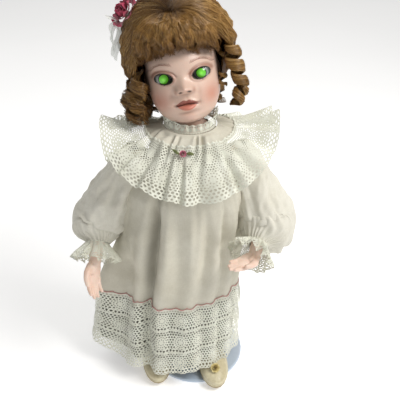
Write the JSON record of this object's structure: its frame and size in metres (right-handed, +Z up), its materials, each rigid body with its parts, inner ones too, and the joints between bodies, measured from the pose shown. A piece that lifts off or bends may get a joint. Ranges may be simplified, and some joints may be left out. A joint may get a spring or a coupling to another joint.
{
  "type": "collectible porcelain doll",
  "caption": "Bisque-headed doll in a lace-collared cream dress, standing on a round base with a waist clasp; head, arms and legs pose, and it turns and rises on its stand.",
  "frame": {"origin": "centre of the stand disc's underside, on the surface it stands on", "axes": "+Z up, the doll faces -Y, +X towards the doll's left hand"},
  "size_m": [0.2566, 0.1751, 0.4732],
  "materials": {
    "enamel": "pale blue-white gloss enamel",
    "plated_steel": "bright plated steel",
    "nylon": "natural nylon",
    "muslin": "unbleached cotton, stuffed",
    "bisque": "matte bisque porcelain, painted",
    "beech": "turned, unfinished",
    "spring_wire": "drawn wire",
    "glass_eye": "green glass",
    "pate_board": "pressed board",
    "wig_fibre": "auburn synthetic hair",
    "silk_rose": "deep pink satin",
    "sheer_ribbon": "sheer white ribbon",
    "batiste": "cream cotton batiste",
    "cotton_lace": "cream cotton lace",
    "ribbon_rosette": "pink satin ribbon",
    "ribbon_leaf": "green satin ribbon",
    "pearl_button": "pearl",
    "shoe_leatherette": "cream leatherette",
    "shoe_sole": "moulded sole",
    "shoe_rosette": "pale yellow satin ribbon"
  },
  "bodies": {
    "stand": {"stand_base": "enamel", "stand_tube": "plated_steel"},
    "bushing": {"stand_bushing": "nylon"},
    "trunk": {"stand_rod": "plated_steel", "waist_clasp": "plated_steel", "torso": "muslin", "shoulder_plate": "bisque", "dress": "batiste", "lace_tier_1": "cotton_lace", "lace_tier_2": "cotton_lace", "lace_tier_3": "cotton_lace", "petticoat": "batiste", "neckband": "cotton_lace", "lace_collar": "cotton_lace", "collar_rosette": "ribbon_rosette", "collar_leaf_left": "ribbon_leaf", "collar_leaf_right": "ribbon_leaf", "back_button_1": "pearl_button", "back_button_2": "pearl_button", "back_button_3": "pearl_button"},
    "neck": {"neck_button": "beech", "neck_hook": "spring_wire", "neck_spring": "spring_wire"},
    "head": {"head": "bisque", "eye_left": "glass_eye", "eye_right": "glass_eye", "pate": "pate_board", "hair_crown": "wig_fibre", "hair_bangs": "wig_fibre", "ringlet_right_front": "wig_fibre", "ringlet_right_rear": "wig_fibre", "ringlet_left_front": "wig_fibre", "ringlet_left_rear": "wig_fibre", "ringlet_back_right": "wig_fibre", "ringlet_back_left": "wig_fibre", "hair_rose": "silk_rose", "hair_bow": "sheer_ribbon"},
    "upper_arm_right": {"upper_arm_right": "muslin", "sleeve_right": "batiste"},
    "forearm_right": {"forearm_right": "bisque", "cuff_right": "cotton_lace"},
    "leg_right": {"thigh_right": "muslin", "lower_leg_right": "bisque", "pantaloon_right": "batiste", "shoe_upper_right": "shoe_leatherette", "shoe_sole_right": "shoe_sole", "shoe_rosette_right": "shoe_rosette"},
    "upper_arm_left": {"upper_arm_left": "muslin", "sleeve_left": "batiste"},
    "forearm_left": {"forearm_left": "bisque", "cuff_left": "cotton_lace"},
    "leg_left": {"thigh_left": "muslin", "lower_leg_left": "bisque", "pantaloon_left": "batiste", "shoe_upper_left": "shoe_leatherette", "shoe_sole_left": "shoe_sole", "shoe_rosette_left": "shoe_rosette"}
  },
  "joints": [
    {"name": "stand_turn", "type": "hinge", "parent": "stand", "child": "bushing", "pos_m": [-0.015, 0.043, 0.105], "axis": [0, 0, 1], "range_deg": [-60, 60]},
    {"name": "stand_height", "type": "slide", "parent": "bushing", "child": "trunk", "axis": [0, 0, 1], "range_m": [0, 0.03]},
    {"name": "head_turn", "type": "hinge", "parent": "trunk", "child": "neck", "pos_m": [-0.0045, 0.0005, 0.342], "axis": [0, 0, 1], "range_deg": [-20, 20]},
    {"name": "head_nod", "type": "hinge", "parent": "neck", "child": "head", "pos_m": [-0.0045, 0.0005, 0.342], "axis": [0.9994, -0.0349, 0], "range_deg": [-3, 6]},
    {"name": "shoulder_right", "type": "hinge", "parent": "trunk", "child": "upper_arm_right", "pos_m": [-0.063, 0.002, 0.306], "axis": [-1, 0, 0], "range_deg": [-4, 15]},
    {"name": "elbow_right", "type": "hinge", "parent": "upper_arm_right", "child": "forearm_right", "pos_m": [-0.111, 0.004, 0.221], "axis": [-0.8491, -0.2329, 0.474], "range_deg": [-6, 8]},
    {"name": "hip_right", "type": "hinge", "parent": "trunk", "child": "leg_right", "pos_m": [-0.0375, 0, 0.196], "axis": [0, 0, 1], "range_deg": [-6, 6]},
    {"name": "shoulder_left", "type": "hinge", "parent": "trunk", "child": "upper_arm_left", "pos_m": [0.046, 0.002, 0.306], "axis": [-1, 0, 0], "range_deg": [-4, 15]},
    {"name": "elbow_left", "type": "hinge", "parent": "upper_arm_left", "child": "forearm_left", "pos_m": [0.079, -0.017, 0.223], "axis": [-0.7153, 0.5634, -0.4134], "range_deg": [-6, 8]},
    {"name": "hip_left", "type": "hinge", "parent": "trunk", "child": "leg_left", "pos_m": [0.0015, 0, 0.196], "axis": [0, 0, 1], "range_deg": [-6, 6]}
  ]
}
